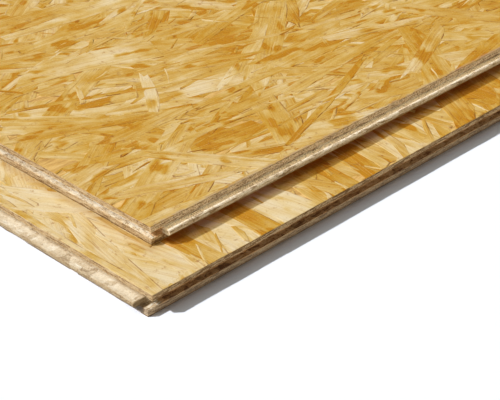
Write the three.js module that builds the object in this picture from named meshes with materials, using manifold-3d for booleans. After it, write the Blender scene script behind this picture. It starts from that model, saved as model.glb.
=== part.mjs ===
// Two tongue-and-groove OSB floor panels, one lying on the other, in millimetres with +Z up.
//
// Both panels are alike. The lower one is turned half a turn about the vertical, and the upper one is
// drawn back from it, so that each shows another pair of edges at the front corner:
// the lower panel its end tongue and its side groove, the upper panel its end groove and its side tongue.
// X runs across the panels, Y along them. The origin is on the floor, under the middle of the stack.

import * as THREE from 'three';
import { mergeVertices } from 'three/addons/utils/BufferGeometryUtils.js';
import Module from 'manifold-3d';

// ---- Panel ----
const COVER_LENGTH = 2500; // laid length, from the lips of the end groove to the end shoulder
const COVER_WIDTH = 675; // laid width, from the lips of the side groove to the side shoulder
const THICKNESS = 18;

// ---- Joint section, the same on all four edges ----
const LOWER_LIP = 6.4; // wood under the groove
const GROOVE_OPENING = 5.6; // height of the groove's mouth
const TONGUE_PLAY = 0.2; // play above and below a tongue in its groove
const DEPTH_PLAY = 1; // play between a tongue's tip and the floor of its groove
const TIP_FLAT = 0.4; // flat left between the two roundings of a tongue's tip
const FLOOR_RADIUS = 0.8; // rounding of a groove's floor
const ARC_STEPS = 6; // facets in each rounding

// ---- Joint lengths ----
const END_TONGUE = 11.8; // reach of the end tongue from its upper shoulder
const SIDE_TONGUE = 8.4; // reach of the side tongue from its shoulder
const END_SHOULDER_STEP = 5.3; // how far the end's lower shoulder stands out past the upper one

// ---- Stack ----
const DRAWN_BACK_X = 52; // upper panel's shift across the lower one
const DRAWN_BACK_Y = 46; // upper panel's shift along the lower one

// Extruded sections run on this far past each other before they are crossed.
const OVERRUN = 10;

const grooveTop = LOWER_LIP + GROOVE_OPENING;
const tongueBottom = LOWER_LIP + TONGUE_PLAY;
const tongueTop = grooveTop - TONGUE_PLAY;
const tipRadius = (tongueTop - tongueBottom - TIP_FLAT) / 2;

// Section across one pair of edges: x = 0 at the groove's lips, x = cover at the upper shoulder,
// y = 0 on the panel's underside.
function jointSection(cover, tongueReach, shoulderStep) {
  const grooveFloor = tongueReach + DEPTH_PLAY;
  const tip = cover + tongueReach;
  const section = new THREE.Shape();
  section.moveTo(0, 0);
  section.lineTo(cover + shoulderStep, 0);
  section.lineTo(cover + shoulderStep, tongueBottom);
  section.lineTo(tip - tipRadius, tongueBottom);
  section.absarc(tip - tipRadius, tongueBottom + tipRadius, tipRadius, -Math.PI / 2, 0, false);
  section.lineTo(tip, tongueTop - tipRadius);
  section.absarc(tip - tipRadius, tongueTop - tipRadius, tipRadius, 0, Math.PI / 2, false);
  section.lineTo(cover, tongueTop);
  section.lineTo(cover, THICKNESS);
  section.lineTo(0, THICKNESS);
  section.lineTo(0, grooveTop);
  section.lineTo(grooveFloor - FLOOR_RADIUS, grooveTop);
  section.absarc(grooveFloor - FLOOR_RADIUS, grooveTop - FLOOR_RADIUS, FLOOR_RADIUS, Math.PI / 2, 0, true);
  section.lineTo(grooveFloor, LOWER_LIP + FLOOR_RADIUS);
  section.absarc(grooveFloor - FLOOR_RADIUS, LOWER_LIP + FLOOR_RADIUS, FLOOR_RADIUS, 0, -Math.PI / 2, true);
  section.lineTo(0, LOWER_LIP);
  section.closePath();
  return section;
}

// A bar of one section: `across` is the direction the section's x points in, `along` the bar's own.
function sectionBar(section, across, along, start, length) {
  const bar = new THREE.ExtrudeGeometry(section, {
    depth: length,
    bevelEnabled: false,
    curveSegments: ARC_STEPS,
  });
  bar.translate(0, 0, start);
  bar.applyMatrix4(new THREE.Matrix4().makeBasis(across, new THREE.Vector3(0, 0, 1), along));
  return bar;
}

const wasm = await Module();
wasm.setup();

function toManifold(geometry) {
  const bare = geometry.clone();
  bare.deleteAttribute('normal');
  bare.deleteAttribute('uv');
  const merged = mergeVertices(bare, 1e-4);
  return new wasm.Manifold(new wasm.Mesh({
    numProp: 3,
    vertProperties: new Float32Array(merged.attributes.position.array),
    triVerts: new Uint32Array(merged.index.array),
  }));
}

function toGeometry(manifold) {
  const mesh = manifold.getMesh();
  const geometry = new THREE.BufferGeometry();
  geometry.setAttribute('position', new THREE.BufferAttribute(mesh.vertProperties, 3));
  geometry.setIndex(new THREE.BufferAttribute(mesh.triVerts, 1));
  geometry.computeVertexNormals();
  return geometry;
}

// The four edges are milled right through, first the ends and then the sides. Crossing the two long
// sections gives the same corners: a groove cuts off the end of the tongue that it meets.
function panelGeometry() {
  const xAxis = new THREE.Vector3(1, 0, 0);
  const yAxis = new THREE.Vector3(0, 1, 0);
  const widthOverAll = COVER_WIDTH + SIDE_TONGUE;
  const lengthOverAll = COVER_LENGTH + END_TONGUE;
  const endSection = jointSection(COVER_LENGTH, END_TONGUE, END_SHOULDER_STEP);
  const sideSection = jointSection(COVER_WIDTH, SIDE_TONGUE, 0);
  const endBar = sectionBar(endSection, yAxis, xAxis, -OVERRUN, widthOverAll + 2 * OVERRUN);
  const sideBar = sectionBar(
    sideSection,
    xAxis,
    yAxis.clone().negate(),
    -lengthOverAll - OVERRUN,
    lengthOverAll + 2 * OVERRUN,
  );
  const panel = toGeometry(toManifold(endBar).intersect(toManifold(sideBar)));
  panel.translate(-COVER_WIDTH / 2, -COVER_LENGTH / 2, 0);
  return panel;
}

const osb = new THREE.MeshStandardMaterial({ color: 0xd9ae6a, roughness: 0.72, metalness: 0 });
const panel = panelGeometry();

const lowerPanel = new THREE.Mesh(panel, osb);
lowerPanel.name = 'lower_panel';
lowerPanel.rotation.z = Math.PI;

const upperPanel = new THREE.Mesh(panel, osb);
upperPanel.name = 'upper_panel';
upperPanel.position.set(-DRAWN_BACK_X, DRAWN_BACK_Y, THICKNESS);

const group = new THREE.Group();
group.add(lowerPanel, upperPanel);
group.position.set(DRAWN_BACK_X / 2, -DRAWN_BACK_Y / 2, 0);

export default group;
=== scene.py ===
# Two tongue-and-groove OSB panels, one lying on the other.
# Each panel is a milled body, rough on its sawn edges, with a mat of pressed strands on both faces.

import math

import bpy
from mathutils import Matrix, Vector, noise


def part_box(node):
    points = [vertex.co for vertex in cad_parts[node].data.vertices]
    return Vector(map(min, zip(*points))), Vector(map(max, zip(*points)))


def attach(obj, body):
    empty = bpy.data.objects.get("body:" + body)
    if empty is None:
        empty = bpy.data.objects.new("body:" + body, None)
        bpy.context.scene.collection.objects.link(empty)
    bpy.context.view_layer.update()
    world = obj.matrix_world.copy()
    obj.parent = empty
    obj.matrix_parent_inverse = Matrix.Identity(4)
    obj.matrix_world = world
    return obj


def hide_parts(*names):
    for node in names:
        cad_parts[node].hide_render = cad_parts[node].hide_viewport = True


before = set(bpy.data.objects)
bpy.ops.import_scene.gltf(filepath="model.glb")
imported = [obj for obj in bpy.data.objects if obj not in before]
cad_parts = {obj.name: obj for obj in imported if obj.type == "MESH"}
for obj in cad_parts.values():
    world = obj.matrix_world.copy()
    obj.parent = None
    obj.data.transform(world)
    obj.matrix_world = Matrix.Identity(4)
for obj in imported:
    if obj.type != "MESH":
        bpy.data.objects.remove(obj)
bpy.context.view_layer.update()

MM = 0.001

# ---- Joint section, as milled on the panels ----
LOWER_LIP = 6.4 * MM
GROOVE_OPENING = 5.6 * MM
TONGUE_PLAY = 0.2 * MM
DEPTH_PLAY = 1.0 * MM
TIP_FLAT = 0.4 * MM
FLOOR_RADIUS = 0.8 * MM
END_TONGUE = 11.8 * MM
SIDE_TONGUE = 8.4 * MM
END_SHOULDER_STEP = 5.3 * MM
ARC_STEPS = 4

GROOVE_TOP = LOWER_LIP + GROOVE_OPENING
TONGUE_BOTTOM = LOWER_LIP + TONGUE_PLAY
TONGUE_TOP = GROOVE_TOP - TONGUE_PLAY
TIP_RADIUS = (TONGUE_TOP - TONGUE_BOTTOM - TIP_FLAT) / 2

# ---- Panels, from the frame ----
lower_low, lower_high = (Vector(corner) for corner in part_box("lower_panel"))
upper_low, upper_high = (Vector(corner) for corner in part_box("upper_panel"))
THICKNESS = lower_high.z - lower_low.z
COVER_WIDTH = lower_high.x - lower_low.x - SIDE_TONGUE
COVER_LENGTH = lower_high.y - lower_low.y - END_TONGUE

# A panel's own axes have the grooves at -X and -Y and the middle of its laid face at the origin.
LOWER_PLACE = Matrix.Translation((
    lower_high.x - COVER_WIDTH / 2,
    lower_high.y - COVER_LENGTH / 2,
    lower_low.z,
)) @ Matrix.Rotation(math.pi, 4, "Z")
UPPER_PLACE = Matrix.Translation((
    upper_low.x + COVER_WIDTH / 2,
    upper_low.y + COVER_LENGTH / 2,
    upper_low.z,
))

# ---- Milled body ----
FACE_RECESS = 0.45 * MM  # the body stops this far short of each face, where the strands begin
EDGE_GRAIN = 4.0 * MM  # spacing of the body's vertices along an edge
SECTION_GRAIN = 1.4 * MM  # and across its section
LONGEST_MILLED = 20 * MM  # stretches of the section longer than this are faces, not milled edges
ROUGHNESS_DEPTH = 0.16 * MM
ACROSS_RATE = 0.35  # bumps per millimetre across the panel, through it and along the edge
THROUGH_RATE = 0.9
ALONG_RATE = 0.16
PIT_DEPTH = 0.55 * MM
PIT_RATE = 1.7  # times the rate of the bumps
PIT_SHIFT = Vector((31.0, 7.0, 0.0))
PIT_RARITY = 0.35
OVERRUN = 5 * MM  # the crossed sections run this far past each other
HAIR = 0.01 * MM  # nothing comes closer than this to the panel's true faces and edges
FLAT = 0.8  # a face whose normal rises more than this lies flat
CROSSED_SEED = 50.0  # the crossed section's own roughness, from the panel's seed
LAYER_SEED = 100  # from one layer of a mat to the next
UNDERSIDE_SEED = 500  # from a panel's top mat to the one under it


# ======================================================================================
# Node helpers
# ======================================================================================

class Value:
    """A socket in a node tree, so that sums of sockets read as sums."""

    def __init__(self, tree, socket):
        self.tree = tree
        self.socket = socket

    def math(self, operation, *others):
        node = self.tree.nodes.new("ShaderNodeMath")
        node.operation = operation
        for place, value in enumerate((self, *others)):
            feed(self.tree, node.inputs[place], value)
        return Value(self.tree, node.outputs[0])

    def __add__(self, other):
        return self.math("ADD", other)

    def __sub__(self, other):
        return self.math("SUBTRACT", other)

    def __mul__(self, other):
        return self.math("MULTIPLY", other)

    def __truediv__(self, other):
        return self.math("DIVIDE", other)

    def __neg__(self):
        return self.math("MULTIPLY", -1.0)

    def size(self):
        return self.math("ABSOLUTE")

    def power(self, exponent):
        return self.math("POWER", exponent)

    def least(self, other):
        return self.math("MINIMUM", other)

    def most(self, other):
        return self.math("MAXIMUM", other)

    def ramp(self, low, high):
        """A smooth rise from 0 at low to 1 at high. Where low is the greater, it falls from there."""
        node = self.tree.nodes.new("ShaderNodeMapRange")
        node.interpolation_type = "SMOOTHSTEP"
        for name, value in (("Value", self), ("From Min", low), ("From Max", high)):
            feed(self.tree, node.inputs[name], value)
        return Value(self.tree, node.outputs["Result"])


def feed(tree, socket, value):
    if isinstance(value, Value):
        tree.links.new(value.socket, socket)
    else:
        socket.default_value = value


def vector(tree, x, y, z):
    node = tree.nodes.new("ShaderNodeCombineXYZ")
    for place, value in enumerate((x, y, z)):
        feed(tree, node.inputs[place], value)
    return Value(tree, node.outputs[0])


def split(value):
    node = value.tree.nodes.new("ShaderNodeSeparateXYZ")
    feed(value.tree, node.inputs[0], value)
    return [Value(value.tree, node.outputs[axis]) for axis in range(3)]


def noise_field(tree, at, detail, roughness=0.5, scale=1.0):
    node = tree.nodes.new("ShaderNodeTexNoise")
    feed(tree, node.inputs["Vector"], at)
    feed(tree, node.inputs["Scale"], scale)
    feed(tree, node.inputs["Detail"], detail)
    feed(tree, node.inputs["Roughness"], roughness)
    return Value(tree, node.outputs[0])


# ======================================================================================
# Strand mats: geometry nodes
# ======================================================================================

STRAND_INPUTS = (
    ("Width", "NodeSocketFloat"),
    ("Length", "NodeSocketFloat"),
    ("Strand Length", "NodeSocketFloat"),
    ("Strand Width", "NodeSocketFloat"),
    ("Mean Angle", "NodeSocketFloat"),
    ("Angle Spread", "NodeSocketFloat"),
    ("Palest", "NodeSocketFloat"),
    ("Deepest", "NodeSocketFloat"),
    ("Paler Ends", "NodeSocketFloat"),
    ("Relief", "NodeSocketFloat"),
    ("Border Wear", "NodeSocketFloat"),
    ("Seed", "NodeSocketInt"),
    ("Material", "NodeSocketMaterial"),
)


class Layer:
    """One layer of a mat: how its strands differ from the mat's own strand size."""

    def __init__(self, long, wide, crowding, cuts, depth, thick, spread):
        self.long = long  # times the mat's strand length
        self.wide = wide  # times the mat's strand width
        self.crowding = crowding  # how many times over the layer would cover the face
        self.cuts = cuts  # faces of a strand along and across
        self.depth = depth  # highest and lowest strand, as shares of the relief
        self.thick = thick
        self.spread = spread  # times the mat's angle spread


BED = Layer(1.25, 1.7, 3.4, (2, 1), (0.72, 1.0), 0.25 * MM, 1.0)
FACE = Layer(1.25, 0.8, 2.5, (5, 2), (0.12, 0.7), 0.26 * MM, 1.0)
SLIVERS = Layer(0.2, 0.12, 0.08, (2, 1), (0.05, 0.35), 0.2 * MM, 1.0)

# One random draw for each of these, from the layer's seed onwards.
DRAWS = (
    "place across", "place along", "depth", "length", "width", "turn", "tint", "own seed",
    "start slant", "end slant", "bow", "lean along", "lean across", "taper", "second tint",
)
STRAY = 0.75  # farthest from its place in the grid, in pitches
NEAR_MEAN_ANGLE = 0.75  # 0 spreads the angles evenly and 1 gathers them at the mean
LENGTHS = (0.5, 1.5)  # times the layer's mean length
NARROWEST = 0.25  # times the layer's mean width
WIDTH_RANGE = 1.35
NARROW_SHARE = 1.6  # above 1, more strands are narrow than wide
TINT_DRAWS = (0.6, 0.4)  # two draws added together, so middling shades are the commonest
PALE_END_REACH = 100 * MM
PALE_END_RANGE = 0.9  # how much of the range of shades is lost at a pale end
PALE_END_SHIFT = 0.4  # and how much paler all strands are
SLANT = 1.3  # most slant of an end, in widths
BOW = 0.05  # most bow, in lengths
TAPER = 0.55  # most loss of width at the ends
SPLIT_REACH = 0.55  # how far splits reach in from the ends, in lengths
WAVER = 0.35  # how uneven the sides are, in widths
FOOT = 0.45 * MM  # a strand spreads this far from its top to its underside
LEAN = 0.12  # how much a strand leans, in reliefs
TOP_CLEARANCE = 0.02  # the highest strand stops short of the face by this, in reliefs
CHIPS_PER_METRE = 90.0
WELD = 0.02 * MM


def random_value(tree, low, high, seed):
    node = tree.nodes.new("FunctionNodeRandomValue")
    node.data_type = "FLOAT"
    feed(tree, node.inputs[2], low)
    feed(tree, node.inputs[3], high)
    feed(tree, node.inputs["Seed"], seed)
    return Value(tree, node.outputs[1])


def store(tree, geometry, name, data_type, value):
    node = tree.nodes.new("GeometryNodeStoreNamedAttribute")
    node.data_type = data_type
    node.domain = "POINT"
    tree.links.new(geometry, node.inputs["Geometry"])
    node.inputs["Name"].default_value = name
    feed(tree, node.inputs["Value"], value)
    return node.outputs["Geometry"]


def stored(tree, name, data_type):
    node = tree.nodes.new("GeometryNodeInputNamedAttribute")
    node.data_type = data_type
    node.inputs["Name"].default_value = name
    return Value(tree, node.outputs["Attribute"])


def strand_layer(tree, given, layer, seed):
    """The strands of one layer, each a closed block shaped, turned and laid at its own height."""
    half_width = given["Width"] * 0.5
    half_length = given["Length"] * 0.5
    long_mean = given["Strand Length"] * layer.long
    wide_mean = given["Strand Width"] * layer.wide

    def draw(what, low, high):
        return random_value(tree, low, high, seed + DRAWS.index(what))

    # One point for each strand: a grid, shaken.
    pitch = (long_mean * wide_mean / layer.crowding).math("SQRT")
    grid = tree.nodes.new("GeometryNodeMeshGrid")
    feed(tree, grid.inputs["Size X"], given["Width"])
    feed(tree, grid.inputs["Size Y"], given["Length"])
    feed(tree, grid.inputs["Vertices X"], (given["Width"] / pitch).math("ROUND"))
    feed(tree, grid.inputs["Vertices Y"], (given["Length"] / pitch).math("ROUND"))
    points = tree.nodes.new("GeometryNodeMeshToPoints")
    tree.links.new(grid.outputs["Mesh"], points.inputs["Mesh"])
    position = tree.nodes.new("GeometryNodeInputPosition")
    grid_x, grid_y, _ = split(Value(tree, position.outputs[0]))
    strayed_x = grid_x + pitch * draw("place across", -STRAY, STRAY)
    strayed_y = grid_y + pitch * draw("place along", -STRAY, STRAY)
    placed_x = strayed_x.most(-half_width).least(half_width)
    placed_y = strayed_y.most(-half_length).least(half_length)
    shape = store(tree, points.outputs["Points"], "centre", "FLOAT_VECTOR", vector(
        tree, placed_x, placed_y, draw("depth", *layer.depth)))

    # Its size, angle and shade.
    narrow = draw("width", 0.0, 1.0).power(NARROW_SHARE)
    shape = store(tree, shape, "strand_size", "FLOAT_VECTOR", vector(
        tree,
        long_mean * draw("length", *LENGTHS),
        wide_mean * (narrow * WIDTH_RANGE + NARROWEST),
        layer.thick,
    ))
    swing = draw("turn", -1.0, 1.0)
    gather = swing.size() * NEAR_MEAN_ANGLE + (1.0 - NEAR_MEAN_ANGLE)
    angle = given["Mean Angle"] + given["Angle Spread"] * layer.spread * swing * gather
    shape = store(tree, shape, "turn", "FLOAT", angle)
    common = draw("tint", 0.0, TINT_DRAWS[0]) + draw("second tint", 0.0, TINT_DRAWS[1])
    from_end = half_length - placed_y.size()
    paler = given["Paler Ends"] * from_end.ramp(PALE_END_REACH, 0.0)
    tint_range = (given["Deepest"] - given["Palest"]) * common * (-paler * PALE_END_RANGE + 1.0)
    shape = store(tree, shape, "strand_tint", "FLOAT", (
        given["Palest"] + tint_range - paler * PALE_END_SHIFT))
    shape = store(tree, shape, "strand_seed", "FLOAT", draw("own seed", 0.0, 100.0))
    shape = store(tree, shape, "ends", "FLOAT_VECTOR", vector(
        tree,
        draw("start slant", -SLANT, SLANT),
        draw("end slant", -SLANT, SLANT),
        draw("bow", -BOW, BOW),
    ))
    shape = store(tree, shape, "tilt", "FLOAT_VECTOR", vector(
        tree,
        draw("lean along", -1.0, 1.0),
        draw("lean across", -1.0, 1.0),
        draw("taper", 0.0, 1.0),
    ))

    # One thin block, placed once at each point.
    block = tree.nodes.new("GeometryNodeMeshCube")
    block.inputs["Size"].default_value = (1.0, 1.0, 1.0)
    block.inputs["Vertices X"].default_value = layer.cuts[0] + 1
    block.inputs["Vertices Y"].default_value = layer.cuts[1] + 1
    block.inputs["Vertices Z"].default_value = 2
    own = tree.nodes.new("GeometryNodeInputPosition")
    on_block = Value(tree, own.outputs[0])
    strand = store(tree, block.outputs["Mesh"], "strand_at", "FLOAT_VECTOR", on_block)
    place = tree.nodes.new("GeometryNodeInstanceOnPoints")
    tree.links.new(shape, place.inputs["Points"])
    tree.links.new(strand, place.inputs["Instance"])
    real = tree.nodes.new("GeometryNodeRealizeInstances")
    tree.links.new(place.outputs["Instances"], real.inputs["Geometry"])

    # Each block is shaped into its own strand: slanted and split ends, a slight bow, uneven sides.
    u, v, w = split(stored(tree, "strand_at", "FLOAT_VECTOR"))
    long, wide, thick = split(stored(tree, "strand_size", "FLOAT_VECTOR"))
    start_slant, end_slant, bow = split(stored(tree, "ends", "FLOAT_VECTOR"))
    lean_along, lean_across, taper = split(stored(tree, "tilt", "FLOAT_VECTOR"))
    centre_x, centre_y, depth = split(stored(tree, "centre", "FLOAT_VECTOR"))
    turn = stored(tree, "turn", "FLOAT")
    own_seed = stored(tree, "strand_seed", "FLOAT")
    far = (u * 2.0).size()
    slant = start_slant * (-u + 0.5) + end_slant * (u + 0.5)
    split_ends = noise_field(tree, vector(tree, v * 9.0, u * 1.5, own_seed), detail=1.0) - 0.5
    along = u * long + v * wide * slant + split_ends * far.power(4.0) * long * SPLIT_REACH
    narrowing = far.power(3.0) * taper * -TAPER + 1.0
    uneven = noise_field(tree, vector(tree, u * 3.0, v, own_seed + 7.0), detail=2.0) - 0.5
    across = v * wide * narrowing + far * far * bow * long + uneven * wide * WAVER
    foot = (-w + 0.5) * 2.0 * FOOT
    along = along + u * foot
    across = across + v * foot
    cosine = turn.math("COSINE")
    sine = turn.math("SINE")
    x = centre_x + along * cosine - across * sine
    y = centre_y + along * sine + across * cosine

    # The saw leaves an uneven border.
    chip_at = vector(tree, x * CHIPS_PER_METRE, y * CHIPS_PER_METRE, own_seed)
    chipped = noise_field(tree, chip_at, detail=2.0)
    border = given["Border Wear"] * chipped.ramp(0.3, 0.75) + HAIR
    limit_x = half_width - border
    limit_y = half_length - border
    x = x.most(-limit_x).least(limit_x)
    y = y.most(-limit_y).least(limit_y)
    lean = (lean_along * u + lean_across * v) * LEAN
    z = given["Relief"] * (lean - depth).least(-TOP_CLEARANCE) + thick * (w - 0.5)

    move = tree.nodes.new("GeometryNodeSetPosition")
    tree.links.new(real.outputs["Geometry"], move.inputs["Geometry"])
    feed(tree, move.inputs["Position"], vector(tree, x, y, z))

    # For the finish: where the grain of each strand runs, and how far the mat's border is.
    here = tree.nodes.new("GeometryNodeInputPosition")
    now_x, now_y, _ = split(Value(tree, here.outputs[0]))
    off_x = now_x - centre_x
    off_y = now_y - centre_y
    grain = vector(tree, off_x * cosine + off_y * sine, off_y * cosine - off_x * sine, own_seed)
    shaped = store(tree, move.outputs["Geometry"], "grain", "FLOAT_VECTOR", grain)
    from_border = (half_width - now_x.size()).least(half_length - now_y.size())
    return store(tree, shaped, "from_border", "FLOAT", from_border)


def strand_tree(name, layers):
    """A mat of flat strands that fills a Width by Length rectangle and reaches up to z = 0."""
    tree = bpy.data.node_groups.new(name, "GeometryNodeTree")
    for socket, kind in STRAND_INPUTS:
        tree.interface.new_socket(socket, in_out="INPUT", socket_type=kind)
    tree.interface.new_socket("Geometry", in_out="OUTPUT", socket_type="NodeSocketGeometry")
    entry = tree.nodes.new("NodeGroupInput")
    leave = tree.nodes.new("NodeGroupOutput")
    given = {socket: Value(tree, entry.outputs[socket]) for socket, _ in STRAND_INPUTS}
    join = tree.nodes.new("GeometryNodeJoinGeometry")
    for place, layer in enumerate(layers):
        shaped = strand_layer(tree, given, layer, given["Seed"] + LAYER_SEED * place)
        tree.links.new(shaped, join.inputs["Geometry"])
    weld = tree.nodes.new("GeometryNodeMergeByDistance")
    weld.mode = "CONNECTED"
    weld.inputs["Distance"].default_value = WELD
    tree.links.new(join.outputs["Geometry"], weld.inputs["Geometry"])
    geometry = weld.outputs["Geometry"]
    for attribute_name in ("centre", "turn", "ends", "tilt", "strand_seed"):
        drop = tree.nodes.new("GeometryNodeRemoveAttribute")
        drop.inputs["Name"].default_value = attribute_name
        tree.links.new(geometry, drop.inputs["Geometry"])
        geometry = drop.outputs["Geometry"]
    real = tree.nodes.new("GeometryNodeRealizeInstances")
    tree.links.new(geometry, real.inputs["Geometry"])
    paint = tree.nodes.new("GeometryNodeSetMaterial")
    tree.links.new(real.outputs["Geometry"], paint.inputs["Geometry"])
    feed(tree, paint.inputs["Material"], given["Material"])
    tree.links.new(paint.outputs["Geometry"], leave.inputs["Geometry"])
    return tree


def run_tree(name, tree, values):
    """The tree's result as a plain mesh object."""
    holder = bpy.data.objects.new(name + "_maker", bpy.data.meshes.new(name + "_maker"))
    bpy.context.collection.objects.link(holder)
    modifier = holder.modifiers.new("make", "NODES")
    modifier.node_group = tree
    for item in tree.interface.items_tree:
        if item.in_out == "INPUT":
            modifier[item.identifier] = values[item.name]
    holder.update_tag()
    evaluated = holder.evaluated_get(bpy.context.evaluated_depsgraph_get())
    mesh = bpy.data.meshes.new_from_object(evaluated)
    mesh.name = name
    bpy.data.objects.remove(holder)
    piece = bpy.data.objects.new(name, mesh)
    bpy.context.collection.objects.link(piece)
    return piece


# ======================================================================================
# Materials
# ======================================================================================

def new_material(name):
    material = bpy.data.materials.new(name)
    material.use_nodes = True
    tree = material.node_tree
    shader = tree.nodes["Principled BSDF"]
    return material, tree, shader


def colour_ramp(tree, value, stops):
    node = tree.nodes.new("ShaderNodeValToRGB")
    ramp = node.color_ramp
    while len(ramp.elements) < len(stops):
        ramp.elements.new(0.5)
    for element, (where, colour) in zip(ramp.elements, stops):
        element.position = where
        element.color = (*colour, 1.0)
    feed(tree, node.inputs["Fac"], value)
    return Value(tree, node.outputs["Color"])


def blend_colours(tree, how, share, first, second):
    node = tree.nodes.new("ShaderNodeMix")
    node.data_type = "RGBA"
    node.blend_type = how
    feed(tree, node.inputs[0], share)
    feed(tree, node.inputs[6], first)
    feed(tree, node.inputs[7], second)
    return Value(tree, node.outputs[2])


def attribute(tree, name, output="Vector"):
    node = tree.nodes.new("ShaderNodeAttribute")
    node.attribute_name = name
    return Value(tree, node.outputs[output])


def object_position(tree):
    node = tree.nodes.new("ShaderNodeTexCoord")
    return Value(tree, node.outputs["Object"])


def bump(tree, height, distance, strength):
    node = tree.nodes.new("ShaderNodeBump")
    node.inputs["Strength"].default_value = strength
    node.inputs["Distance"].default_value = distance
    feed(tree, node.inputs["Height"], height)
    return Value(tree, node.outputs["Normal"])


def voronoi_cells(tree, at):
    """A random value for each cell, about one cell to a unit."""
    node = tree.nodes.new("ShaderNodeTexVoronoi")
    feed(tree, node.inputs["Vector"], at)
    feed(tree, node.inputs["Scale"], 1.0)
    cell = tree.nodes.new("ShaderNodeSeparateColor")
    tree.links.new(node.outputs["Color"], cell.inputs["Color"])
    return Value(tree, cell.outputs["Red"])


def grain_noise(tree, grain, rates, shift, detail, roughness=0.5):
    """Noise that follows the grain, with its rates in features per metre along and across it."""
    along, across, seed = grain
    at = vector(tree, along * rates[0], across * rates[1], seed + shift)
    return noise_field(tree, at, detail, roughness)


class Wash:
    """A colour laid over wood: how it blends, its greatest share and its tint."""

    def __init__(self, how, share, tint):
        self.how = how
        self.share = share
        self.tint = (*tint, 1.0)

    def over(self, wood, where):
        return blend_colours(wood.tree, self.how, where * self.share, wood, self.tint)


# Shades of wood, for a ramp
PALE_TO_DEEP = (
    (0.0, (0.560, 0.485, 0.322)),
    (0.25, (0.540, 0.436, 0.236)),
    (0.44, (0.489, 0.354, 0.128)),
    (0.62, (0.444, 0.288, 0.065)),
    (0.81, (0.410, 0.231, 0.024)),
    (1.0, (0.372, 0.172, 0.006)),
)
BED_DARK_TO_PALE = (
    (0.35, (0.350, 0.200, 0.050)),
    (0.5, (0.483, 0.300, 0.083)),
    (0.65, (0.567, 0.392, 0.150)),
)
CUT_DARK_TO_PALE = (
    (0.38, (0.275, 0.200, 0.117)),
    (0.50, (0.492, 0.408, 0.283)),
    (0.64, (0.600, 0.533, 0.408)),
    (0.80, (0.700, 0.667, 0.567)),
)

# Washes on the pressed strands
FIBRE_BROWN = (0.66, 0.42, 0.15)
CREAM = (0.67, 0.56, 0.34)
# Brown of cracks and pores, and of the glue rims with their painted edge shade
CRACK_AND_SHADE_BROWN = (0.40, 0.21, 0.08)
RINGS = Wash("MULTIPLY", 0.32, (0.80, 0.56, 0.30))
DARK_FIBRES = Wash("MULTIPLY", 0.42, FIBRE_BROWN)
PALE_FIBRES = Wash("MIX", 0.22, CREAM)
SPLITS = Wash("MULTIPLY", 0.35, (0.55, 0.33, 0.13))
# Glue and dust with painted edge shade, on one side and one end of each strand
GLUE_AND_EDGE_SHADE = Wash("MULTIPLY", 0.7, CRACK_AND_SHADE_BROWN)
STAINS = Wash("MULTIPLY", 0.75, (0.55, 0.33, 0.14))
DARK_FLECKS = Wash("MULTIPLY", 0.25, FIBRE_BROWN)
PALE_FLECKS = Wash("MIX", 0.2, CREAM)
# Painted shade on the lower panel along the foot of the upper one, browner in the side tongue's shadow
END_FOOT_SHADE = (0.80, 0.72, 0.61, 1.0)
SIDE_FOOT_SHADE = (0.82, 0.62, 0.58, 1.0)
BROWN_TONGUE_SHADOW = Wash("MULTIPLY", 1.0, (1.0, 0.85, 0.95))
# Painted shade on the upper panel's top arris by its shaded side
SHADED_ARRIS_GREY = Wash("MIX", 0.5, (0.29, 0.24, 0.21))
# Painted shade where the lower panel meets the floor
FLOOR_CONTACT_SHADE = Wash("MULTIPLY", 1.0, (0.30, 0.26, 0.20))

# Washes on the milled edges
# Brown of painted shade and of random grit on the milled edges
GRIT_AND_SHADE_BROWN = (0.50, 0.43, 0.33)
OUTER_LAYER = Wash("MULTIPLY", 1.0, (0.74, 0.605, 0.43))
# Painted light, then painted shade, on the milled edges
PAINTED_LIGHT = Wash("MIX", 1.0, (0.97, 0.85, 0.62))
PAINTED_SHADE = Wash("MULTIPLY", 1.0, GRIT_AND_SHADE_BROWN)
GRIT = Wash("MULTIPLY", 0.25, GRIT_AND_SHADE_BROWN)
# Warm brown painted shade in the side groove and the notch
WARM_PAINTED_SHADE = Wash("MULTIPLY", 1.0, (0.95, 0.70, 0.46))
# Grey painted floor light and painted shade on the lowest lip
FLOOR_LIGHT_AND_SHADE_GREY = Wash("MIX", 1.0, (0.31, 0.30, 0.27))
PORES = Wash("MULTIPLY", 1.0, CRACK_AND_SHADE_BROWN)

WEAVE = 5.0 * MM  # how far the grain weaves to either side
SHADE_TRIM = 0.02  # evens out the strands' mean shade
PALE_SHADE = 0.25  # where a strand of tint 0 is on the ramp, and the way from there to tint 1
SHADE_RANGE = 0.75
LEAST_SAP = 0.36
SAP_BY_TINT = 1.4
LEAST_RING_RATE = 900.0  # radians per metre across the grain
RING_RATE_RANGE = 1400.0
RING_WANDER = 26.0
MEAN_TONE = 0.58  # of a milled edge
FLOOR_COLOUR = (0.975, 0.95, 0.94, 1.0)

# How far off glue rims, painted shade and painted floor light begin, and where they are full
GLUE_AND_SHADE_RIM = (1.3 * MM, 0.2 * MM)  # in from one side of a strand
RIM_END_SHARE = 0.4  # a distance from its end counts for this much, so the rim is wider there
# Painted shade at the foot of the upper panel and in its side tongue's shadow
FOOT_SHADE_REACH = (10 * MM, 1 * MM)  # out from the foot of the upper panel
FOOT_LINE = (-0.5 * MM, 0.0)  # none under it
ALONG_SIDE = (-6 * MM, -18 * MM)  # back from the upper panel's end
TONGUE_SHADOW_REACH = (17 * MM, 10.5 * MM)  # out from its side shoulder
# Painted shade on the upper panel's top arris by its shaded side
SHADED_ARRIS_STRIP = (-4.0 * MM, -0.6 * MM)  # in from its side shoulder
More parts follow.
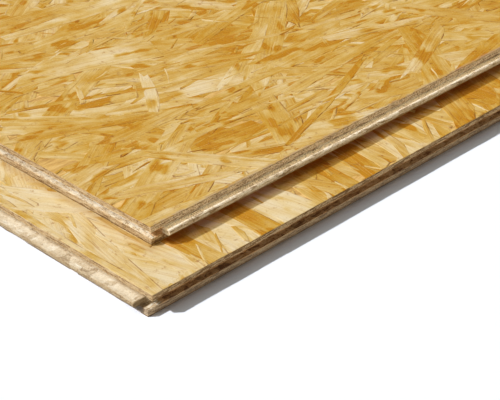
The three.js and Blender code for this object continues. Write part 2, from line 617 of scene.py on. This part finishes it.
# Painted shade where the lower panel meets the floor
CONTACT_SHADE_ARRIS = (2.0 * MM, 0.8 * MM)  # in from the border of the underside
CONTACT_SHADE_FOOT = (1.0 * MM, 0.6 * MM)  # down to the floor
# Grey painted floor light and painted shade on the lowest lip
GREY_LIP_HEIGHTS = (9 * MM, 3 * MM)
MAT_DEPTH = 1.0 * MM  # all the strands of a face lie above this
MAT_SLACK = 0.1 * MM


def strand_finish():
    """Pressed pine strands: each its own shade, with grain, growth rings and fine splits."""
    material, tree, shader = new_material("pressed_strands")
    u, v, _ = split(attribute(tree, "strand_at"))
    long, wide, _ = split(attribute(tree, "strand_size"))
    along, straight_across, seed = split(attribute(tree, "grain"))
    on_panel = object_position(tree)

    # The grain weaves a little to either side.
    weave = grain_noise(tree, (along, straight_across, seed), (20.0, 30.0), shift=3.0, detail=2.0)
    across = straight_across + (weave - 0.5) * WEAVE
    grain = (along, across, seed)

    # Each strand has its own shade, which drifts along it and from one part of the panel to the next.
    shade = attribute(tree, "strand_tint", "Fac")
    for field, weight in (
        (grain_noise(tree, grain, (34.0, 80.0), shift=0.0, detail=3.0), 1.5),
        (grain_noise(tree, grain, (8.0, 240.0), shift=71.0, detail=2.0), 0.6),
        (noise_field(tree, on_panel, detail=4.0, roughness=0.6, scale=8.0), 1.6),
        (noise_field(tree, on_panel, detail=1.0, scale=1.4), 0.8),
    ):
        shade = shade + (field - 0.5) * weight
    shade = shade - SHADE_TRIM

    # Resin and heartwood: soft deep patches inside the strands, deepest in the deep ones.
    sap = grain_noise(tree, grain, (28.0, 55.0), shift=91.0, detail=2.0)
    depth = attribute(tree, "strand_tint", "Fac").most(0.0) * SAP_BY_TINT + LEAST_SAP
    shade = shade + sap.ramp(0.57, 0.70) * depth
    wood = colour_ramp(tree, shade * SHADE_RANGE + PALE_SHADE, PALE_TO_DEEP)

    # Growth rings run the length of a strand and wander. Each strand has its own spacing and strength.
    wander = grain_noise(tree, grain, (9.0, 22.0), shift=0.0, detail=1.0)
    ring_rate = (seed * 7.31).math("FRACT") * RING_RATE_RANGE + LEAST_RING_RATE
    wave = (across * ring_rate + wander * RING_WANDER + seed).math("SINE")
    strength = (seed * 3.77).math("FRACT").ramp(0.4, 1.1)
    rings = (wave * 0.5 + 0.5).power(2.0) * strength
    wood = RINGS.over(wood, rings)

    # Long fibres, dark and light.
    fibre = grain_noise(tree, grain, (14.0, 750.0), shift=0.0, detail=4.0, roughness=0.7)
    wood = DARK_FIBRES.over(wood, fibre.ramp(0.47, 0.72))
    wood = PALE_FIBRES.over(wood, fibre.ramp(0.47, 0.27))

    # Splits: thin dark lines with the grain, in short runs.
    line = grain_noise(tree, grain, (7.0, 170.0), shift=31.0, detail=2.0)
    run = grain_noise(tree, grain, (30.0, 60.0), shift=57.0, detail=1.0)
    splits = (line - 0.5).size().ramp(0.016, 0.004) * run.ramp(0.5, 0.62)
    wood = SPLITS.over(wood, splits)

    # Glue and dust, with painted edge shade, darken parts of one side and one end of a strand.
    from_side = (v + 0.5) * wide
    from_end = (u + 0.5) * long
    rim = from_side.least(from_end * RIM_END_SHARE).ramp(*GLUE_AND_SHADE_RIM)
    patchy = grain_noise(tree, grain, (40.0, 40.0), shift=11.0, detail=1.0)
    wood = GLUE_AND_EDGE_SHADE.over(wood, rim * patchy.ramp(0.52, 0.64))

    # Small stains and flecks over the whole face.
    stain = noise_field(tree, on_panel, detail=3.0, roughness=0.7, scale=160.0)
    fleck = noise_field(tree, on_panel, detail=2.0, roughness=0.7, scale=620.0)
    wood = STAINS.over(wood, stain.ramp(0.57, 0.76))
    wood = DARK_FLECKS.over(wood, fleck.ramp(0.52, 0.75))
    wood = PALE_FLECKS.over(wood, fleck.ramp(0.42, 0.28))

    # Painted shade where the panels meet each other and the floor.
    wood = painted_shade_on_strands(wood, on_panel, stain)
    tree.links.new(wood.socket, shader.inputs["Base Color"])
    tree.links.new((fibre * 0.2 + 0.6).socket, shader.inputs["Roughness"])
    shader.inputs["Specular IOR Level"].default_value = 0.2
    height = fibre * 0.6 + rings * 0.25 - splits * 0.5 + stain * 0.25
    tree.links.new(bump(tree, height, distance=0.4 * MM, strength=0.65).socket, shader.inputs["Normal"])
    return material


def painted_shade_on_strands(wood, on_panel, stain):
    """Strands with painted shade along the foot of the upper panel, along its top arris by its shaded
    side tongue, and where the stack stands on the floor.
    """
    tree = wood.tree
    x, y, z = split(on_panel)

    # Painted shade lies on the lower panel along the foot of the upper one, browner along its side where
    # the side tongue's shadow falls.
    past_side = x - upper_high.x + SIDE_TONGUE
    past_end = -y + upper_low.y
    from_foot = past_side.most(past_end)
    not_above = z.ramp(lower_high.z + MAT_SLACK, lower_high.z)
    not_below = z.ramp(lower_high.z - MAT_DEPTH - MAT_SLACK, lower_high.z - MAT_DEPTH)
    on_lower_top = not_above * not_below
    by_side = past_end.ramp(*ALONG_SIDE)
    foot_shade = from_foot.ramp(*FOOT_SHADE_REACH) * from_foot.ramp(*FOOT_LINE) * on_lower_top
    foot_shade_tint = blend_colours(tree, "MIX", by_side, END_FOOT_SHADE, SIDE_FOOT_SHADE)
    wood = blend_colours(tree, "MULTIPLY", foot_shade, wood, foot_shade_tint)
    in_tongue_shadow = past_side.ramp(*TONGUE_SHADOW_REACH) * by_side * on_lower_top
    wood = BROWN_TONGUE_SHADOW.over(wood, in_tongue_shadow)

    # Painted shade greys the upper panel's top arris along its shaded side tongue.
    on_upper_top = z.ramp(upper_high.z - 2 * MAT_DEPTH, upper_high.z - MAT_DEPTH)
    arris_shade = past_side.ramp(*SHADED_ARRIS_STRIP) * on_upper_top
    wood = SHADED_ARRIS_GREY.over(wood, arris_shade * stain.ramp(0.3, 0.6))

    # Painted shade darkens the arris that the stack stands on, where it meets the floor.
    at_arris = attribute(tree, "from_border", "Fac").ramp(*CONTACT_SHADE_ARRIS)
    return FLOOR_CONTACT_SHADE.over(wood, at_arris * z.ramp(*CONTACT_SHADE_FOOT))


def bed_finish():
    """Deeper strands that show in the gaps of the mat."""
    material, tree, shader = new_material("strand_bed")
    x, y, z = split(object_position(tree))
    fibre_at = vector(tree, x * 260.0, y * 40.0, z * 400.0)
    fibre = noise_field(tree, fibre_at, detail=4.0, roughness=0.65)
    wood = colour_ramp(tree, fibre, BED_DARK_TO_PALE)
    tree.links.new(wood.socket, shader.inputs["Base Color"])
    shader.inputs["Roughness"].default_value = 0.8
    tree.links.new(bump(tree, fibre, distance=0.5 * MM, strength=0.8).socket, shader.inputs["Normal"])
    return material


def milled_finish():
    """The cut edges: strands cut across in thin layers, pale and brown, with specks and pores."""
    material, tree, shader = new_material("milled_edge")
    at = object_position(tree)
    x, y, z = split(at)
    uneven = attribute(tree, "unevenness", "Fac")
    patches = noise_field(tree, at, detail=2.0, scale=70.0)
    warp = patches - 0.5
    layers = voronoi_cells(tree, vector(
        tree, x * 95.0 + warp * 1.5, y * 95.0 - warp * 1.5, z * 1150.0 + warp * 2.5))
    chips = voronoi_cells(tree, vector(
        tree, x * 330.0 + warp * 3.0, y * 330.0 + warp * 3.0, z * 700.0))
    fuzz = noise_field(tree, at, detail=3.0, roughness=0.7, scale=900.0)
    pore_at = vector(tree, x * 420.0, y * 420.0, z * 800.0)
    pores = noise_field(tree, pore_at, detail=2.0).ramp(0.61, 0.72)
    tone = layers * 0.36 + chips * 0.17 + fuzz * 0.40 + patches * 0.24
    tone = (tone - MEAN_TONE) * uneven + MEAN_TONE
    wood = colour_ramp(tree, tone, CUT_DARK_TO_PALE)

    # The lips are denser and browner than the core that shows on tongues and in grooves.
    outer = (attribute(tree, "outer", "Fac") + warp * 0.5).ramp(0.2, 0.8)
    wood = OUTER_LAYER.over(wood, outer)

    # Painted shade, and painted light where the attribute is below 0.
    shade_paint = attribute(tree, "painted_shade_and_light", "Fac") + warp * 0.3
    wood = PAINTED_LIGHT.over(wood, shade_paint.ramp(-0.1, -0.9) * fuzz.ramp(0.34, 0.56))
    wood = PAINTED_SHADE.over(wood, shade_paint.ramp(0.1, 0.9))
    wood = PAINTED_SHADE.over(wood, shade_paint.ramp(1.0, 1.9))
    wood = GRIT.over(wood, fuzz.ramp(0.56, 0.38) * uneven)
    # Warm brown painted shade in the side groove and the notch.
    warm_shade_mask = attribute(tree, "warm_shade_paint", "Fac") + patches - 0.5
    wood = WARM_PAINTED_SHADE.over(wood, warm_shade_mask.ramp(0.1, 0.9))

    # The lowest lip is painted grey: painted light off the floor on its shaded side, painted shade on its
    # lit end.
    wood = FLOOR_LIGHT_AND_SHADE_GREY.over(wood, z.ramp(*GREY_LIP_HEIGHTS) * (fuzz * 0.6 - 0.02))

    # Pores, darker in the dense layers.
    wood = PORES.over(wood, pores * (outer * 0.2 + 0.45))
    tree.links.new(wood.socket, shader.inputs["Base Color"])
    shader.inputs["Roughness"].default_value = 0.85
    shader.inputs["Specular IOR Level"].default_value = 0.2
    height = layers * 0.4 + chips * 0.3 + fuzz * 0.5 - pores * 0.6
    tree.links.new(bump(tree, height, distance=0.35 * MM, strength=0.8).socket, shader.inputs["Normal"])
    return material


def floor_finish():
    """Plain pale floor."""
    material, _, shader = new_material("pale_floor")
    shader.inputs["Base Color"].default_value = FLOOR_COLOUR
    shader.inputs["Roughness"].default_value = 0.9
    shader.inputs["Specular IOR Level"].default_value = 0.1
    return material


# ======================================================================================
# Milled body
# ======================================================================================

def arc(centre, radius, start, end):
    """Points from one angle to another, in degrees."""
    points = []
    for step in range(ARC_STEPS + 1):
        angle = math.radians(start + (end - start) * step / ARC_STEPS)
        points.append((centre[0] + radius * math.cos(angle), centre[1] + radius * math.sin(angle)))
    return points


def joint_section(cover, reach, step, low, high):
    """Section across one pair of edges, from the groove's lips at 0 to the tongue past cover."""
    floor_at = reach + DEPTH_PLAY
    tip = cover + reach
    outline = [(0, low), (cover + step, low), (cover + step, TONGUE_BOTTOM)]
    outline += arc((tip - TIP_RADIUS, TONGUE_BOTTOM + TIP_RADIUS), TIP_RADIUS, -90, 0)
    outline += arc((tip - TIP_RADIUS, TONGUE_TOP - TIP_RADIUS), TIP_RADIUS, 0, 90)
    outline += [(cover, TONGUE_TOP), (cover, high), (0, high), (0, GROOVE_TOP)]
    outline += arc((floor_at - FLOOR_RADIUS, GROOVE_TOP - FLOOR_RADIUS), FLOOR_RADIUS, 90, 0)
    outline += arc((floor_at - FLOOR_RADIUS, LOWER_LIP + FLOOR_RADIUS), FLOOR_RADIUS, 0, -90)
    outline += [(0, LOWER_LIP)]
    return outline


def divided(outline):
    """The outline with its milled stretches cut into short ones. Faces stay whole."""
    points = []
    for here, there in zip(outline, outline[1:] + outline[:1]):
        length = math.dist(here, there)
        pieces = 1 if length > LONGEST_MILLED else max(1, round(length / SECTION_GRAIN))
        for piece in range(pieces):
            share = piece / pieces
            points.append((
                here[0] + (there[0] - here[0]) * share,
                here[1] + (there[1] - here[1]) * share,
            ))
    return points


def inward(points, place):
    """Unit direction into the wood at a point of the section."""
    before = Vector(points[place - 1])
    after = Vector(points[(place + 1) % len(points)])
    run = after - before
    return Vector((-run.y, run.x)).normalized()


def wear(s, z, along, seed):
    """How far the milled surface lies inside its true place."""
    spot = Vector((s / MM * ACROSS_RATE, z / MM * THROUGH_RATE, along / MM * ALONG_RATE + seed))
    rough = noise.noise(spot) * 0.5 + 0.5
    pit = max(0.0, noise.noise(spot * PIT_RATE + PIT_SHIFT) - PIT_RARITY)
    return HAIR + ROUGHNESS_DEPTH * rough + PIT_DEPTH * pit


def section_bar(name, outline, start, end, to_panel, seed):
    """The section run from start to end, roughened. to_panel gives (s, z, along) in the panel's axes."""
    points = divided(outline)
    rows = max(2, round((end - start) / EDGE_GRAIN) + 1)
    count = len(points)
    inwards = [inward(points, place) for place in range(count)]
    vertices = []
    for row in range(rows):
        along = start + (end - start) * row / (rows - 1)
        for (s, z), into in zip(points, inwards):
            depth = wear(s, z, along, seed)
            vertices.append(to_panel(s + into.x * depth, z + into.y * depth, along))
    quads = [
        (row * count + place, row * count + (place + 1) % count,
         (row + 1) * count + (place + 1) % count, (row + 1) * count + place)
        for row in range(rows - 1)
        for place in range(count)
    ]
    caps = [tuple(reversed(range(count))), tuple(range((rows - 1) * count, rows * count))]
    mesh = bpy.data.meshes.new(name)
    mesh.from_pydata(vertices, [], quads + caps)
    bar = bpy.data.objects.new(name, mesh)
    bpy.context.collection.objects.link(bar)
    return bar


# How much painted shade and painted light the milled edges carry, where warm painted shade lies and how
# uneven they are, place by place
ON_FACE = 0.3 * MM  # a worn vertex counts as on a face when it is this near
ON_SHOULDER = 0.5 * MM
GROOVE_REACH = 14 * MM  # past the floor of an end groove
SIDE_CUT_REACH = 12 * MM  # past the floor of a side groove
# Where the warm brown painted shade lies
WARM_SHADE_MARGIN = 0.6 * MM
WARM_SHADE_STOP = 8 * MM  # short of the end shoulder
NOTCH_FROM = 5 * MM  # from the end, where the end groove cuts off the side tongue
NOTCH_DEPTH = 10 * MM

SIDE_EDGE_CLEARANCE = 2 * MM  # a side edge's roughness stops this far from its ends
UNEVEN_SIDE_LIP = 2.6
UNEVEN_END_LIP = 1.2
UNEVEN_SIDE_TONGUE = 1.15
UNEVEN_SIDE_GROOVE = 1.0
UNEVEN_CORE = 0.65

# Painted shade is 0 on unshaded wood, 1 on shaded wood and 2 on wood twice as dark. Below 0 it is painted
# light.
FOOT_PAINTED_SHADE = 1.6
FOOT_PAINTED_SHADE_FADE = 1.8 * MM
POCKET_PAINTED_SHADE = 1.9  # under the end tongue, next to the side groove
POCKET_LENGTH = 24 * MM
POCKET_DEPTH = 3 * MM  # behind the shoulder
POCKET_TIP = 5 * MM
POCKET_TIP_PAINTED_SHADE = 0.1
CUT_TONGUE_PAINTED_SHADE = 1.5  # on the cut-off end of the end tongue
CUT_TONGUE_LENGTH = 10.5 * MM
END_NOSE = 3 * MM
END_NOSE_PAINTED_SHADE = 0.9
END_NOSE_CLEAN_AT = 12.7 * MM
END_NOSE_FADE = 2.4 * MM
END_TONGUE_PAINTED_SHADE = 0.7  # at its shoulder, fading outwards
END_TONGUE_FADE = 6 * MM
END_TONGUE_LEAST = 0.1
CUT_TONGUE_PAINTED_LIGHT = -0.4  # on the cut-off end of the side tongue
SIDE_NOSE = 2.2 * MM
SIDE_NOSE_TOP = 1.0 * MM
SIDE_NOSE_PAINTED_SHADE = 0.43
SIDE_NOSE_TOP_PAINTED_SHADE = 0.17
SIDE_TONGUE_PAINTED_LIGHT = -0.49
STRONG_PAINTED_LIGHT = -1.5  # on the side tongue, in the corner by its shoulder
STRONG_PAINTED_LIGHT_FROM = 0.8 * MM
STRONG_PAINTED_LIGHT_TO = 4 * MM
FACING_SIDE = -0.5
SIDE_GROOVE_PAINTED_SHADE = 0.35
ARRIS_PAINTED_SHADE = 0.6
ARRIS = 1.0 * MM
SIDE_LIP_PAINTED_LIGHT = -0.4
END_GROOVE_PAINTED_LIGHT = -0.38
END_LIP_PAINTED_SHADE = 0.38


class Spot:
    """A point of a milled edge, by its distances past the shoulders and from the lips."""

    def __init__(self, at):
        self.z = at.z
        self.past_side = at.x - COVER_WIDTH / 2
        self.past_end = at.y - COVER_LENGTH / 2
        self.from_side = at.x + COVER_WIDTH / 2
        self.from_end = at.y + COVER_LENGTH / 2

    def between(self, low, high, margin):
        return low - margin < self.z < high + margin


def outer_layer(spot):
    """1 on the lips and shoulders, 0 on a tongue, in a groove and on the core."""
    past_shoulder = max(spot.past_side, spot.past_end) > ON_FACE
    past_lips = min(spot.from_side, spot.from_end) > ON_FACE
    if past_shoulder or past_lips:
        return float(not spot.between(TONGUE_BOTTOM, TONGUE_TOP, ON_FACE))
    return float(not spot.between(LOWER_LIP, GROOVE_TOP, -ON_FACE))


def unevenness(spot):
    """How much the shade of a cut varies. The side edges cut most strands across and are the roughest."""
    near_side = spot.past_side > -SIDE_CUT_REACH or spot.from_side < SIDE_CUT_REACH
    clear_of_ends = spot.past_end < -SIDE_EDGE_CLEARANCE and spot.from_end > SIDE_EDGE_CLEARANCE
    by_side = near_side and clear_of_ends
    if outer_layer(spot):
        return UNEVEN_SIDE_LIP if by_side else UNEVEN_END_LIP
    if spot.past_side > 0:
        return UNEVEN_SIDE_TONGUE
    return UNEVEN_SIDE_GROOVE if by_side else UNEVEN_CORE


def warm_shade_at(spot):
    """1 where warm brown painted shade lies: in the side groove and where two grooves' ends meet."""
    in_groove = spot.between(LOWER_LIP, GROOVE_TOP, WARM_SHADE_MARGIN)
    clear_of_ends = spot.from_end > GROOVE_REACH and spot.past_end < -WARM_SHADE_STOP
    side_groove = spot.from_side < SIDE_CUT_REACH and clear_of_ends
    by_shoulder = -NOTCH_DEPTH < spot.past_side < ON_FACE
    notch = NOTCH_FROM < spot.from_end < GROOVE_REACH and by_shoulder
    return float(in_groove and (side_groove or notch))


def end_tongue_painted_shade(spot):
    """Painted shade where it is cut off, by its shoulder and under its nose."""
    if spot.from_side < CUT_TONGUE_LENGTH:
        return CUT_TONGUE_PAINTED_SHADE
    if spot.past_end > END_TONGUE - END_NOSE:
        return min(END_NOSE_PAINTED_SHADE, (END_NOSE_CLEAN_AT - spot.z) / END_NOSE_FADE)
    return max(END_TONGUE_LEAST, END_TONGUE_PAINTED_SHADE - spot.past_end / END_TONGUE_FADE)


def side_tongue_painted_light_and_shade(spot):
    """Painted light, strongest in the corner by the shoulder, with painted shade on the nose."""
    if spot.from_end < GROOVE_REACH - ON_SHOULDER:
        return CUT_TONGUE_PAINTED_LIGHT
    if spot.past_side > SIDE_TONGUE - SIDE_NOSE:
        return SIDE_NOSE_PAINTED_SHADE if spot.z < TONGUE_TOP - SIDE_NOSE_TOP else SIDE_NOSE_TOP_PAINTED_SHADE
    if spot.past_side < STRONG_PAINTED_LIGHT_FROM:
        return 0.0
    return STRONG_PAINTED_LIGHT if spot.past_side < STRONG_PAINTED_LIGHT_TO else SIDE_TONGUE_PAINTED_LIGHT


def painted_shade_and_light(spot, facing):
    """How much painted shade the milled edge carries. Below 0 it carries painted light instead."""
    by_underside = FOOT_PAINTED_SHADE - spot.z / FOOT_PAINTED_SHADE_FADE
    on_tongue = spot.between(TONGUE_BOTTOM, TONGUE_TOP, ON_FACE)
    by_side_groove = spot.past_end > -POCKET_DEPTH and spot.from_side < POCKET_LENGTH
    if by_side_groove and spot.z < TONGUE_BOTTOM + ON_FACE:
        return POCKET_PAINTED_SHADE if spot.from_side > POCKET_TIP else POCKET_TIP_PAINTED_SHADE
    if spot.past_end > -ON_SHOULDER and on_tongue:
        return end_tongue_painted_shade(spot)
    if spot.past_end > 0 and spot.z < TONGUE_BOTTOM:
        return max(by_underside, END_TONGUE_PAINTED_SHADE)
    if spot.past_side > -ON_SHOULDER and on_tongue:
        return side_tongue_painted_light_and_shade(spot)
    if facing.x < FACING_SIDE:
        return ARRIS_PAINTED_SHADE if spot.z > THICKNESS - ARRIS else max(by_underside, SIDE_GROOVE_PAINTED_SHADE)
    if spot.past_side > -ON_SHOULDER and spot.z > TONGUE_TOP:
        return SIDE_LIP_PAINTED_LIGHT
    if spot.from_end < GROOVE_REACH and spot.between(LOWER_LIP, GROOVE_TOP, ON_SHOULDER):
        return END_GROOVE_PAINTED_LIGHT
    on_end_lip = spot.past_end > -ARRIS or spot.from_end < ARRIS
    return max(by_underside, END_LIP_PAINTED_SHADE if on_end_lip else 0.0)


def store_on_points(mesh, name, values):
    layer = mesh.attributes.new(name, "FLOAT", "POINT")
    layer.data.foreach_set("value", values)


def milled_body(name, place, seed, finishes):
    """A panel without its strands: a section along it and one across it, crossed."""
    half = Vector((COVER_WIDTH / 2, COVER_LENGTH / 2))
    side = joint_section(COVER_WIDTH, SIDE_TONGUE, 0.0, FACE_RECESS, THICKNESS - FACE_RECESS)
    end = joint_section(COVER_LENGTH, END_TONGUE, END_SHOULDER_STEP, -OVERRUN, THICKNESS + OVERRUN)
    side_bar = section_bar(
        name, side, -OVERRUN, COVER_LENGTH + END_TONGUE + OVERRUN,
        lambda s, z, along: (s - half.x, along - half.y, z), seed)
    side_bar.data.flip_normals()
    end_bar = section_bar(
        name + "_ends", end, -OVERRUN, COVER_WIDTH + SIDE_TONGUE + OVERRUN,
        lambda s, z, along: (along - half.x, s - half.y, z), seed + CROSSED_SEED)
    cross = side_bar.modifiers.new("cross", "BOOLEAN")
    cross.operation = "INTERSECT"
    cross.solver = "MANIFOLD"
    cross.object = end_bar
    evaluated = side_bar.evaluated_get(bpy.context.evaluated_depsgraph_get())
    mesh = bpy.data.meshes.new_from_object(evaluated)
    mesh.name = name
    bpy.data.objects.remove(end_bar)
    bpy.data.objects.remove(side_bar)
    mesh.materials.clear()
    for finish in finishes:
        mesh.materials.append(finish)
    for face in mesh.polygons:
        from_face = min(face.center.z, THICKNESS - face.center.z)
        under_mat = from_face < FACE_RECESS + 2 * ROUGHNESS_DEPTH and abs(face.normal.z) > FLAT
        face.material_index = int(under_mat)
    spots = [Spot(vertex.co) for vertex in mesh.vertices]
    # Painted shade and painted light on the milled edges, place by place
    shade_paint = [painted_shade_and_light(spot, vertex.normal) for spot, vertex in zip(spots, mesh.vertices)]
    store_on_points(mesh, "painted_shade_and_light", shade_paint)
    store_on_points(mesh, "warm_shade_paint", [warm_shade_at(spot) for spot in spots])
    store_on_points(mesh, "outer", [outer_layer(spot) for spot in spots])
    store_on_points(mesh, "unevenness", [unevenness(spot) for spot in spots])
    mesh.transform(place)
    body = bpy.data.objects.new(name, mesh)
    bpy.context.collection.objects.link(body)
    return body


# ======================================================================================
# Strand mats on the faces
# ======================================================================================

RELIEF = 0.42 * MM  # from the highest strand of a face to the lowest
BORDER_WEAR = 0.5 * MM

face_tree = strand_tree("face_mat", (BED, FACE, SLIVERS))
under_tree = strand_tree("under_mat", (BED, FACE))


class Mat:
    """What the strands of one face look like."""

    def __init__(self, tree, long, wide, angle, spread, palest, deepest, paler_ends=0.0):
        self.tree = tree
        self.long = long
        self.wide = wide
        self.angle = math.radians(angle)
        self.spread = math.radians(spread)
        self.palest = palest
        self.deepest = deepest
        self.paler_ends = paler_ends


# Strand length and width, mean angle and spread, palest and deepest shade, paler ends.
# Angles are from the panel's width towards its length.
UPPER_TOP = Mat(face_tree, 112 * MM, 29 * MM, 88, 62, 0.05, 0.93, 0.12)
LOWER_TOP = Mat(face_tree, 120 * MM, 34 * MM, -4, 34, 0.0, 1.15, 0.68)
UNDERSIDE = Mat(under_tree, 120 * MM, 32 * MM, 90, 40, 0.0, 0.9)


def face_mat(name, mat, place, seed, finish, reach=0.0):
    """Strands over one face. `reach` lengthens the mat at its tongue end."""
    piece = run_tree(name, mat.tree, {
        "Width": COVER_WIDTH,
        "Length": COVER_LENGTH + reach,
        "Strand Length": mat.long,
        "Strand Width": mat.wide,
        "Mean Angle": mat.angle,
        "Angle Spread": mat.spread,
        "Palest": mat.palest,
        "Deepest": mat.deepest,
        "Paler Ends": mat.paler_ends,
        "Relief": RELIEF,
        "Border Wear": BORDER_WEAR,
        "Seed": seed,
        "Material": finish,
    })
    piece.data.transform(place @ Matrix.Translation((0, reach / 2, 0)))
    return piece


def face_up(place):
    return place @ Matrix.Translation((0, 0, THICKNESS))


def face_down(place):
    return place @ Matrix.Rotation(math.pi, 4, "Y")


strands = strand_finish()
milled = milled_finish()
bed = bed_finish()

pieces = []
for panel, place, top, seed in (
    ("lower_panel", LOWER_PLACE, LOWER_TOP, 1000),
    ("upper_panel", UPPER_PLACE, UPPER_TOP, 3000),
):
    body = milled_body(panel + "_body", place, float(seed), (milled, bed))
    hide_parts(panel)
    pieces.append(body)
    pieces.append(face_mat(panel + "_top_strands", top, face_up(place), seed, strands))
    pieces.append(face_mat(
        panel + "_under_strands", UNDERSIDE, face_down(place), seed + UNDERSIDE_SEED, strands,
        END_SHOULDER_STEP))

for piece in pieces:
    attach(piece, "root")

# ======================================================================================
# Floor, light and camera
# ======================================================================================

FLOOR_SIZE = 400.0
SKY_COLOUR = (0.97, 0.97, 1.0, 1.0)
SKY_STRENGTH = 0.06

floor_mesh = bpy.data.meshes.new("floor")
corner = FLOOR_SIZE / 2
floor_mesh.from_pydata(
    [(-corner, -corner, 0), (corner, -corner, 0), (corner, corner, 0), (-corner, corner, 0)],
    [],
    [(0, 1, 2, 3)],
)
floor_mesh.materials.append(floor_finish())
floor = bpy.data.objects.new("floor", floor_mesh)
bpy.context.collection.objects.link(floor)

# The warm lamps shine on the panels alone, so that the floor stays neutral.
panels_only = bpy.data.collections.new("panels_only")
for piece in pieces:
    panels_only.objects.link(piece)

LIGHTS = (
    # name, direction of travel, strength, width of the source, colour, what it lights
    ("low_lamp", (0.84, 1.05, -1.0), 4.15, 2.0, (0.96, 1.03, 1.15), None),
    ("broad_lamp", (0.45, 0.6, -1.0), 0.87, 50.0, (0.98, 1.04, 1.05), None),
    ("warm_lamp", (0.5, 0.9, -1.0), 0.85, 20.0, (1.0, 0.6, 0.15), panels_only),
    ("top_softbox", (0.05, 0.3, -1.0), 0.6, 24.0, (1.0, 0.78, 0.45), panels_only),
    ("side_card", (-1.0, 0.3, -0.12), 2.3, 60.0, (1.0, 0.82, 0.58), panels_only),
)
for name, travel, strength, width, colour, lit in LIGHTS:
    light_data = bpy.data.lights.new(name, "SUN")
    light_data.energy = strength
    light_data.angle = math.radians(width)
    light_data.color = colour
    light = bpy.data.objects.new(name, light_data)
    light.rotation_euler = Vector(travel).to_track_quat("-Z", "Y").to_euler()
    if lit:
        light.light_linking.receiver_collection = lit
    bpy.context.collection.objects.link(light)

world = bpy.data.worlds.new("studio")
world.use_nodes = True
sky = world.node_tree.nodes["Background"]
sky.inputs["Color"].default_value = SKY_COLOUR
sky.inputs["Strength"].default_value = SKY_STRENGTH
bpy.context.scene.world = world
bpy.context.scene.view_settings.view_transform = "Standard"

# The camera stands off the open corner, where both panels' edges show.
OPEN_CORNER = Vector((lower_high.x, lower_high.y - COVER_LENGTH, 0.0))
CAMERA_OFFSET = Vector((0.7511, -0.6511, 0.7069))
CAMERA_TURN = math.radians(44.77)
CAMERA_TILT = math.radians(31.34)
FOCAL_LENGTH = 113.4
SENSOR_WIDTH = 36.0

camera_data = bpy.data.cameras.new("camera")
camera_data.lens = FOCAL_LENGTH
camera_data.sensor_width = SENSOR_WIDTH
camera = bpy.data.objects.new("camera", camera_data)
camera.location = OPEN_CORNER + CAMERA_OFFSET
camera.rotation_euler = (math.pi / 2 - CAMERA_TILT, 0.0, CAMERA_TURN)
bpy.context.collection.objects.link(camera)
bpy.context.scene.camera = camera
